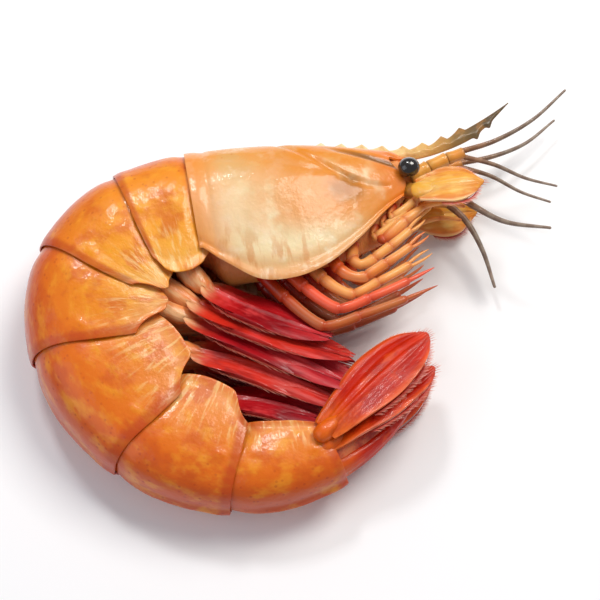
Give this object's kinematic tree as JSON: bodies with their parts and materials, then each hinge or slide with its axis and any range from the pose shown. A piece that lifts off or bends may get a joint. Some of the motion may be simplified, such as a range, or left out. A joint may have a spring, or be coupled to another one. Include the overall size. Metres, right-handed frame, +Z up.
{
  "type": "whole cooked shrimp",
  "caption": "A whole cooked shrimp with its head, legs and shell on, curled and lying on its side.",
  "frame": {"origin": "under the middle of the whole's bounding box, on the surface it lies on", "axes": "+X from the tail side of the curl towards the head's spike and feelers, +Y across towards the back of the head, +Z up from the surface, out of the shrimp's right side"},
  "size_m": [0.0714, 0.0562, 0.0144],
  "materials": {
    "head_shell": "wet, pale cream-orange shell",
    "body_shell": "wet, amber-orange shell",
    "tail_shell": "wet, red-orange shell",
    "leg": "wet, orange-red",
    "swimming_leg": "wet, crimson",
    "feeler": "smooth, red-brown",
    "scale": "wet, yellow-orange",
    "eye": "glossy, black",
    "eyestalk": "wet, orange",
    "belly": "wet, pink-orange"
  },
  "bodies": {
    "root": {"carapace": "head_shell", "thorax": "belly", "abdomen_1": "body_shell", "abdomen_2": "body_shell", "abdomen_3": "body_shell", "abdomen_4": "body_shell", "abdomen_5": "body_shell", "abdomen_6": "body_shell", "telson": "tail_shell", "uropod_exopod_right": "tail_shell", "uropod_exopod_left": "tail_shell", "uropod_endopod_right": "tail_shell", "uropod_endopod_left": "tail_shell", "eye_right": "eye", "eye_left": "eye", "eyestalk_right": "eyestalk", "eyestalk_left": "eyestalk", "antennal_scale_right": "scale", "antennal_scale_left": "scale", "antennule_right": "feeler", "antennule_left": "feeler", "antenna_right": "feeler", "antenna_left": "feeler", "maxilliped_right": "leg", "maxilliped_left": "leg", "pereiopod_1_right": "leg", "pereiopod_1_left": "leg", "pereiopod_2_right": "leg", "pereiopod_2_left": "leg", "pereiopod_3_right": "leg", "pereiopod_3_left": "leg", "pereiopod_4_right": "leg", "pereiopod_4_left": "leg", "pereiopod_5_right": "leg", "pereiopod_5_left": "leg", "pleopod_1_right": "swimming_leg", "pleopod_1_left": "swimming_leg", "pleopod_2_right": "swimming_leg", "pleopod_2_left": "swimming_leg", "pleopod_3_right": "swimming_leg", "pleopod_3_left": "swimming_leg", "pleopod_4_right": "swimming_leg", "pleopod_4_left": "swimming_leg", "pleopod_5_right": "swimming_leg", "pleopod_5_left": "swimming_leg"}
  },
  "joints": []
}
